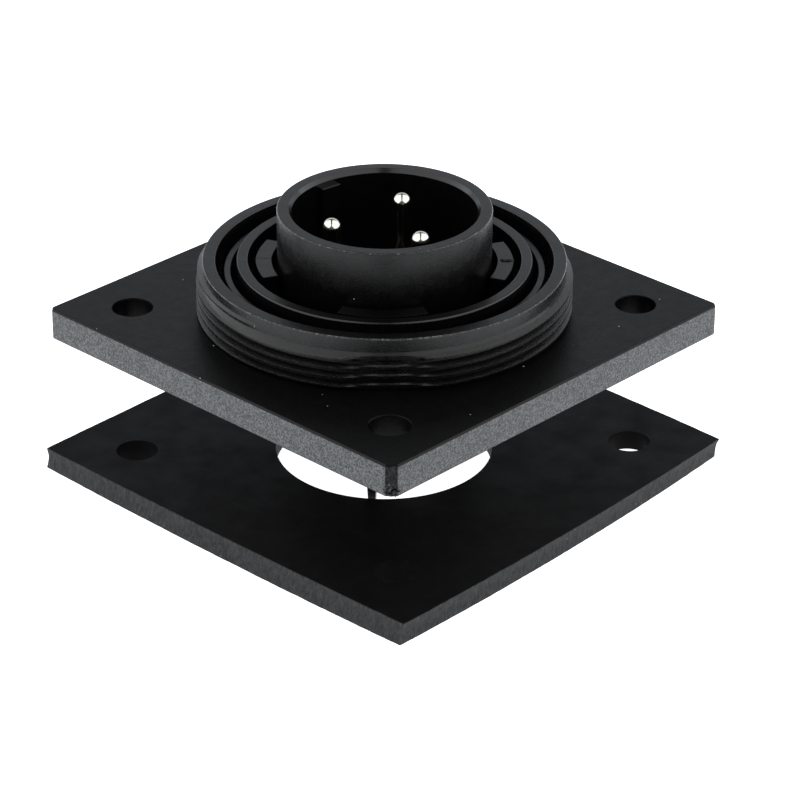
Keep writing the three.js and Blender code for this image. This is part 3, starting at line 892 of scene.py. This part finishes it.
def flange_finishes():
    """Which faces of the flange body get which moulded finish. The first test that passes decides."""
    corner_zone = 2 * GATE_CORNER_CUT
    side_zone = 1.2
    diagonal = 0.6

    def outer_side(centre):
        return max(abs(centre.x), abs(centre.y))

    def torn_corner(centre, normal):
        near_corner = centre.x - centre.y > 2 * FLANGE_HALF - corner_zone
        return near_corner and centre.z < FLANGE_REAR + TORN_HEIGHT and abs(normal.x + normal.y) > TORN_NORMAL

    def corner_flat(centre, normal):
        return normal.x > diagonal and normal.y < -diagonal and centre.x > FLANGE_HALF - corner_zone

    def outside_flange(centre, normal):
        return outer_side(centre) > FLANGE_HALF - side_zone and abs(normal.z) < UPRIGHT_NORMAL

    def flange_fillet(centre, normal):
        return outer_side(centre) > FLANGE_HALF - FLANGE_EDGE and abs(normal.z) < EVEN_NORMAL

    def flange_face(centre, normal):
        outside_collar = from_axis(centre) > THREAD_ROOT - OVERLAP and centre.z < FLANGE_FRONT
        return outside_collar or abs(centre.z - FLANGE_FRONT) < SAME_HEIGHT

    def rim_fillet(centre, normal):
        return SLOPING_NORMAL < normal.z < LEVEL_NORMAL and centre.z > COLLAR_RIM - RUBBED_DEPTH

    def rubbed_edge(centre, normal):
        return rim_fillet(centre, normal) and from_axis(centre) > COLLAR_BORE + OVERLAP

    def top_face(centre, normal):
        facing_up = normal.z > UPWARD_NORMAL and centre.z > FLANGE_FRONT + 1
        return facing_up and from_axis(centre) < THREAD_ROOT

    def thread_flank(centre, normal):
        outside = from_axis(centre) > THREAD_ROOT and centre.z > FLANGE_FRONT + SAME_HEIGHT
        return outside and normal.z > SLOPING_NORMAL

    return [
        (EDGES, torn_corner), (CORNER, corner_flat), (SPARKED_WITH_SHEEN, outside_flange), (RIMS, flange_fillet),
        (SATIN, flange_face), (EDGES, rubbed_edge), (FILLETS, rim_fillet), (RIMS, top_face),
        (FLANKS, thread_flank), (WALLS, everywhere),
    ]


def flange_body():
    """The flange with its collar, fingers and gate marks. Nothing torn is left below the flange's rear."""
    body = flange_plate()
    line, gate, pit = finger_marks()
    hollow, torn = corner_gate()
    combined(body, "UNION", [collar(), *(finger(angle) for angle in FINGER_ANGLES)])
    combined(body, "DIFFERENCE", [line, hollow])
    combined(body, "UNION", [gate, *torn])
    below = box_piece(
        "below", (SPIGOT_RADIUS, -2 * FLANGE_HALF, SPIGOT_END), (2 * FLANGE_HALF, -SPIGOT_RADIUS, FLANGE_REAR)
    )
    combined(body, "DIFFERENCE", [pit, below])
    return finished(body, "flange_body", flange_finishes())


# The insert.
def insert_outline():
    groove_low = GROOVE_MIDDLE - (O_RING_RADIUS + GAP)
    groove_high = GROOVE_MIDDLE + (O_RING_RADIUS + GAP)
    groove_radius = STEM_RADIUS - O_RING_GROOVE
    return rounded([
        (0, STEM_END, 0), (STEM_RADIUS, STEM_END, FILLET),
        (STEM_RADIUS, groove_low, 0.06), (groove_radius, groove_low, FILLET),
        (groove_radius, groove_high, FILLET), (STEM_RADIUS, groove_high, 0.06),
        (STEM_RADIUS, INSERT_SHOULDER, 0.05), (INSERT_COLLAR_RADIUS, INSERT_SHOULDER, 0.1),
        (INSERT_COLLAR_RADIUS, INSERT_COLLAR_TOP, 0.15), (BARREL_RADIUS, INSERT_COLLAR_TOP, 0.1),
        (BARREL_RADIUS, BARREL_RIM, 0.16), (BARREL_BORE + RIM_CHAMFER_WIDTH, BARREL_RIM, 0.05),
        (BARREL_BORE, BARREL_RIM - RIM_CHAMFER_DEPTH, FINE_EDGE), (BARREL_BORE, BARREL_FLOOR, 0.3),
        (0, BARREL_FLOOR, 0),
    ])


def contact_insert():
    body = turned("contact_insert_fine", insert_outline(), FINE)
    middle = (BARREL_BORE + BARREL_RADIUS) / 2
    key = softened(box_piece(
        "key", (KEY_INNER, -KEY_HALF_WIDTH, BARREL_FLOOR - OVERLAP), (middle, KEY_HALF_WIDTH, KEY_TOP)
    ), 0.1)
    combined(body, "UNION", [turned_to(key, KEY_ANGLE)])
    cutters = [rod("hole", SCREW_RADIUS + TIGHT_GAP, STEM_END - OVERCUT, BARREL_FLOOR - OVERCUT)]
    for pole in POLES:
        pin_hole = rod("hole", PIN_RADIUS + TIGHT_GAP, STEM_END - OVERCUT, BARREL_FLOOR + OVERCUT)
        seal_hole = rod("hole", SEAL_RADIUS + GAP, STEM_END - OVERCUT, SEAL_TOP)
        cutters.append(turned_to(pin_hole, PIN_ANGLES[pole], PIN_CIRCLE))
        cutters.append(turned_to(seal_hole, PIN_ANGLES[pole], PIN_CIRCLE))
    combined(body, "DIFFERENCE", cutters)

    def rubbed_edge(centre, normal):
        outer = from_axis(centre) > BARREL_RADIUS - RUBBED_DEPTH
        return outer and UPRIGHT_NORMAL < normal.z < LEVEL_NORMAL and centre.z > BARREL_RIM - RUBBED_DEPTH

    def rim(centre, normal):
        return centre.z > BARREL_RIM - 0.3 and normal.z > 0.9

    def inside(centre, normal):
        return from_axis(centre) < BARREL_BORE + 0.4 and centre.z > BARREL_FLOOR - 0.1

    finishes = [(EDGES, rubbed_edge), (RIMS, rim), (SMOOTH, inside), (WALLS, everywhere)]
    return finished(body, "contact_insert", finishes)


# Seals.
def seal_ring(node, inner, outer, middle, half_height, centre=(0, 0)):
    """A round ring squeezed a little flat, made about its own axis."""
    half_width = (outer - inner) / 2
    outline = [
        (inner + half_width * (1 + math.cos(a)), middle + half_height * math.sin(a))
        for a in (TURN * step / 24 for step in range(24))
    ]
    ring = turned(node + "_fine", outline)
    moved(ring, Matrix.Translation((*centre, 0)))
    return finished(ring, node, all_of(SEAL), smooth_angle=60)


def seals():
    inner, outer = STEM_RADIUS - O_RING_GROOVE + TIGHT_GAP, SPIGOT_BORE - TIGHT_GAP
    seal_ring("insert_o_ring", inner, outer, GROOVE_MIDDLE, O_RING_RADIUS)
    for pole in POLES:
        low, high = lowest(f"pin_seal_{pole}"), highest(f"pin_seal_{pole}")
        middle, half_height = (low.z + high.z) / 2, (high.z - low.z) / 2
        centre = ((low.x + high.x) / 2, (low.y + high.y) / 2)
        seal_ring(f"pin_seal_{pole}", PIN_RADIUS + TIGHT_GAP, SEAL_RADIUS, middle, half_height, centre)


# The contacts and their clamps, each made at the axis with its clamping face towards +X.
def contact(pole):
    outline = rounded([
        (0, POST_END, 0), (POST_RADIUS, POST_END, 0.15), (POST_RADIUS, SHOULDER_BASE, 0.05),
        (SHOULDER_RADIUS, SHOULDER_BASE, 0.06), (SHOULDER_RADIUS, SHOULDER_TOP, 0.06),
        (PIN_RADIUS, SHOULDER_TOP, 0.04),
    ])
    dome_steps = 14
    for step in range(dome_steps + 1):
        angle = math.pi / 2 * step / dome_steps
        outline.append((PIN_RADIUS * math.cos(angle), PIN_TIP - PIN_RADIUS + PIN_RADIUS * math.sin(angle)))
    outline[-1] = (0, PIN_TIP)
    body = turned(f"contact_{pole}_fine", outline)
    reach = POST_RADIUS + OVERCUT
    face_top = SHOULDER_BASE - POST_FLAT_DROP
    face = box_piece("face", (POST_FLAT, -reach, POST_END - OVERCUT), (reach, reach, face_top))
    hole = laid_along_x(rod("hole", SCREW_RADIUS + TIGHT_GAP, -reach, reach))
    combined(body, "DIFFERENCE", [face, hole])
    turned_to(body, PIN_ANGLES[pole], PIN_CIRCLE)
    return finished(body, f"contact_{pole}", all_of(NICKEL))


def clamp_plate(pole):
    near = POST_FLAT + GAP / 2
    low = (near, -PLATE_HALF, TERMINAL_HEIGHT - PLATE_HALF)
    high = (near + PLATE_THICKNESS, PLATE_HALF, TERMINAL_HEIGHT + PLATE_HALF)
    body = softened(box_piece(f"clamp_plate_{pole}_fine", low, high), 0.12)
    serrations = []
    for step in range(-3, 4):
        height = TERMINAL_HEIGHT + SERRATION_PITCH * step
        mouth = near - SERRATION_HALF
        notch = [(mouth, -SERRATION_HALF), (near + SERRATION_DEPTH, 0), (mouth, SERRATION_HALF)]
        ridge_cut = prism("serration", notch, -PLATE_HALF - OVERCUT, PLATE_HALF + OVERCUT)
        moved(ridge_cut, Matrix.Translation((0, 0, height)) @ Matrix.Rotation(math.pi / 2, 4, "X"))
        serrations.append(ridge_cut)
    hole = laid_along_x(rod("hole", SCREW_RADIUS + GAP, 0, 2 * POST_RADIUS))
    combined(body, "DIFFERENCE", [*serrations, hole])
    turned_to(body, PIN_ANGLES[pole], PIN_CIRCLE)
    return finished(body, f"clamp_plate_{pole}", all_of(ZINC))


def screw_head(name, base, top):
    """A slotted pan head. Its slotted face is the one at the height called top."""
    rise = math.copysign(1, top - base)
    outline = rounded([
        (0, base, 0), (HEAD_RADIUS, base, 0.06), (HEAD_RADIUS, top, 0.3), (0, top, 0),
    ], steps=5)
    head = turned(name, outline)
    reach = HEAD_RADIUS + OVERCUT
    floor, above = sorted((top - rise * SLOT_DEPTH, top + rise * OVERCUT))
    slot = box_piece("slot", (-reach, -SLOT_WIDTH / 2, floor), (reach, SLOT_WIDTH / 2, above))
    return combined(head, "DIFFERENCE", [slot])


def terminal_screw(pole):
    head_base = POST_FLAT + GAP + PLATE_THICKNESS
    body = screw_head(f"terminal_screw_{pole}_fine", head_base, head_base + HEAD_THICKNESS)
    combined(body, "UNION", [screw_shank("shank", SCREW_END, head_base + 2 * GAP)])
    turned_to(laid_along_x(body), PIN_ANGLES[pole], PIN_CIRCLE)
    return finished(body, f"terminal_screw_{pole}", all_of(ZINC))


def block_screw():
    low, high = lowest("block_screw").z, highest("block_screw").z
    body = screw_head("block_screw_fine", low + HEAD_THICKNESS, low)
    shank = screw_shank("shank", -high, -(low + HEAD_THICKNESS - 2 * GAP))
    moved(shank, Matrix.Rotation(math.pi, 4, "X"))
    combined(body, "UNION", [shank])
    return finished(body, "block_screw", all_of(ZINC))


# The terminal block.
def terminal_pocket(pole):
    """The room for one contact's shoulder, post, clamp plate and screw."""
    top = BLOCK_TOP + OVERCUT
    bottom = BLOCK_BOTTOM - OVERCUT
    roof = SHOULDER_BASE - 0.5
    window = box_piece("window", (0, -POCKET_HALF, bottom), (BLOCK_RADIUS, POCKET_HALF, roof))
    bore = rod("bore", POST_RADIUS + 2 * GAP, bottom, top)
    recess = rod("recess", SHOULDER_RADIUS + GAP, SHOULDER_BASE - GAP / 2, top)
    return [turned_to(piece, PIN_ANGLES[pole], PIN_CIRCLE) for piece in (window, bore, recess)]


def foot(angle):
    """A tapered foot, made from three levels of one rounded rectangle."""
    tip, root, half_depth, edge = 0.35, 0.7, 0.55, 0.08
    levels = []
    for height, half_width, inset in ((0, tip, edge), (edge, tip, 0), (BLOCK_BOTTOM + OVERLAP, root, 0)):
        corners = [(-1, -1), (1, -1), (1, 1), (-1, 1)]
        outline = rounded([
            (x * (half_depth - inset), y * (half_width - inset), FINE_EDGE) for x, y in corners
        ])
        levels.append((height, [outline]))
    return turned_to(stacked("foot", levels), angle, FOOT_CIRCLE)


def terminal_block():
    edge = 0.25
    body = turned("terminal_block_fine", rounded([
        (0, BLOCK_BOTTOM, 0), (BLOCK_RADIUS, BLOCK_BOTTOM, edge),
        (BLOCK_RADIUS, BLOCK_TOP, edge), (0, BLOCK_TOP, 0),
    ]), 2 * ROUND)
    cutters = [
        rod("bore", SCREW_RADIUS + GAP, BLOCK_BOTTOM - OVERCUT, BLOCK_TOP + OVERCUT),
        rod("counterbore", HEAD_RADIUS + GAP, BLOCK_BOTTOM - OVERCUT, BLOCK_BOTTOM + COUNTERBORE_DEPTH),
    ]
    for pole in POLES:
        cutters.extend(terminal_pocket(pole))
    combined(body, "DIFFERENCE", cutters)
    softened(body, 0.08, angle=50)
    combined(body, "UNION", [foot(angle) for angle in FOOT_ANGLES])
    return finished(body, "terminal_block", all_of(WALLS))


# The gasket.
def bowed(offsets, share):
    """An offset along a side, from those at its start, middle and end. The share runs from -1 to 1."""
    start, middle, end = offsets
    return middle + (end - start) / 2 * share + ((start + end) / 2 - middle) * share * share


def gasket_outline(depth, inset):
    """The gasket's cut edge at one depth, from 0 at its top face to 1 at its underside."""
    sides = [
        [top + (bottom - top) * depth - inset for top, bottom in zip(top_side, bottom_side)]
        for top_side, bottom_side in zip(GASKET_TOP_SIDES, GASKET_BOTTOM_SIDES)
    ]
    half = GASKET_HALF
    front, right, back, left = sides
    corners = [
        (-half - left[2], -half - front[0]), (half + right[0], -half - front[2]),
        (half + right[2], half + back[0]), (-half - left[0], half + back[2]),
    ]
    points = []
    for index, side in enumerate(sides):
        along = index % 2
        across = 1 - along
        sign = 1 if index in (1, 2) else -1
        start, end = corners[index], corners[(index + 1) % 4]
        for step in range(GASKET_SIDE_STEPS):
            share = step / GASKET_SIDE_STEPS
            point = [0.0, 0.0]
            point[along] = start[along] + (end[along] - start[along]) * share
            point[across] = sign * (half + bowed(side, 2 * share - 1))
            points.append(point)
    long_wave, short_wave = 6, 0.8
    long_depth, short_depth = 0.06, 0.07
    wandered = []
    for x, y in points:
        slow = 0.5 + 0.5 * noise.noise(Vector((x / long_wave, y / long_wave, depth)))
        quick = 0.5 + 0.5 * noise.noise(Vector((x / short_wave, y / short_wave, 3 * depth + 20)))
        shrink = 1 - (long_depth * slow + short_depth * quick) / GASKET_HALF
        wandered.append((x * shrink, y * shrink))
    return wandered


def gasket_hole(x, y, lean, depth):
    """A punched hole that leans towards the gasket's back corner, or away from it, on its way down."""
    shift = lean * depth / math.sqrt(2)
    return circle(x - shift, y + shift, GASKET_HOLE_RADIUS - GASKET_HOLE_TAPER * depth, SMALL)


def flange_gasket():
    levels = []
    for depth, inset in GASKET_LEVELS:
        outlines = [gasket_outline(depth, inset), circle(0, 0, GASKET_BORE + 0.15 * inset, 2 * ROUND)]
        for (x, y), lean in GASKET_HOLE_LEANS.items():
            outlines.append(gasket_hole(x * FIXING_HALF_PITCH, y * FIXING_HALF_PITCH, lean, depth))
        levels.append((GASKET_TOP * (1 - depth), outlines))
    body = stacked("flange_gasket_fine", levels)
    turned_to(body, GASKET_TURN)

    # The walls of the four fixing holes take the darker face material rather than the cut edge's: painted
    # shade in the holes.
    def face(centre, normal):
        inside_edge = max(abs(centre.x), abs(centre.y)) < GASKET_HALF - 2
        hole_wall_shade = inside_edge and from_axis(centre) > GASKET_BORE + 1
        return abs(normal.z) > 0.8 or hole_wall_shade

    finishes = [(GASKET_FACE_AND_HOLE_SHADE, face), (GASKET_CUT, everywhere)]
    return finished(body, "flange_gasket", finishes)


# The camera, the table and the light.
def facing(right, up, back, location):
    """A placement in metres from three axes and a place in millimetres."""
    matrix = Matrix((right, up, back)).transposed().to_4x4()
    matrix.translation = location * MM
    return matrix


def add_camera():
    data = bpy.data.cameras.new("camera")
    data.lens = LENS
    data.clip_start = 0.01
    data.clip_end = 20
    camera = added("camera", data)
    back = VIEW_BACK * math.cos(VIEW_ELEVATION) + Vector((0, 0, math.sin(VIEW_ELEVATION)))
    up = back.cross(VIEW_RIGHT)
    tilted_right = VIEW_RIGHT * math.cos(VIEW_ROLL) + up * math.sin(VIEW_ROLL)
    tilted_up = up * math.cos(VIEW_ROLL) - VIEW_RIGHT * math.sin(VIEW_ROLL)
    aim = Vector((0, 0, FLANGE_FRONT)) + tilted_right * VIEW_SHIFT[0] + tilted_up * VIEW_SHIFT[1]
    camera.matrix_world = facing(tilted_right, tilted_up, back, aim + back * VIEW_DISTANCE)
    bpy.context.scene.camera = camera


def add_table():
    """A backlit white table top."""
    half = TABLE_HALF * MM
    corners = [(-half, -half, 0), (half, -half, 0), (half, half, 0), (-half, half, 0)]
    table = mesh_piece("table", corners, [(0, 1, 2, 3)])
    look = Look("table")
    cloud = look.noise(400.0)
    table.data.materials.append(look.finish(
        Base_Color=look.colours(cloud, (0.74, 0.75, 0.76), (0.78, 0.79, 0.80)),
        Roughness=0.7,
        Specular_IOR_Level=0.0,
        Emission_Color=(0.97, 1.0, 1.03, 1),
        Emission_Strength=TABLE_GLOW,
    ))


def add_softbox(name, side):
    """One of two large soft lights that lean together over the view's axis like a tent."""
    ridge_height, foot_height, half_width = 500, 60, 480
    near, far = 560, -260
    across = VIEW_RIGHT * side
    top = across * SOFTBOX_GAP + Vector((0, 0, ridge_height))
    bottom = across * half_width + Vector((0, 0, foot_height))
    slope = top - bottom
    data = bpy.data.lights.new(name, "AREA")
    data.shape = "RECTANGLE"
    data.size = (near - far) * MM
    data.size_y = slope.length * MM
    data.energy = SOFTBOX_RADIANCE * math.pi * data.size * data.size_y
    light = added(name, data)
    light.visible_camera = False
    up = slope.normalized()
    right = VIEW_BACK * -side
    light.matrix_world = facing(right, up, right.cross(up), (top + bottom) / 2 + VIEW_BACK * (near + far) / 2)


def add_world():
    """A room that is bright behind the object, dim on the viewer's side and dark above."""
    world = bpy.data.worlds.new("room")
    world.use_nodes = True
    graph = Graph(world.node_tree)
    place = graph.add("TexCoord").outputs["Generated"]
    behind = graph.add("VectorMath", "DOT_PRODUCT")
    graph.feed(behind, 0, place)
    graph.feed(behind, 1, -VIEW_BACK)
    parts = graph.add("SeparateXYZ")
    graph.feed(parts, "Vector", place)
    level = graph.remap(
        behind.outputs["Value"], *BEHIND_RANGE, FRONT_RADIANCE, BACK_RADIANCE, interpolation="SMOOTHSTEP"
    )
    rise = graph.remap(parts.outputs["Z"], *RISE_RANGE, 1, 0, interpolation="SMOOTHSTEP")
    tint = graph.add("VectorMath", "SCALE")
    graph.feed(tint, 0, ROOM_TINT)
    graph.feed(tint, "Scale", graph.math("ADD", graph.math("MULTIPLY", level, rise), ZENITH_RADIANCE))
    graph.feed(graph.nodes["Background"], "Color", tint.outputs["Vector"])
    bpy.context.scene.world = world


def build():
    bpy.context.scene.view_settings.view_transform = "Standard"
    add_camera()
    add_table()
    add_world()
    add_softbox("softbox_left", -1)
    add_softbox("softbox_right", 1)
    flange_body()
    contact_insert()
    seals()
    for pole in POLES:
        contact(pole)
        clamp_plate(pole)
        terminal_screw(pole)
    block_screw()
    terminal_block()
    flange_gasket()


build()
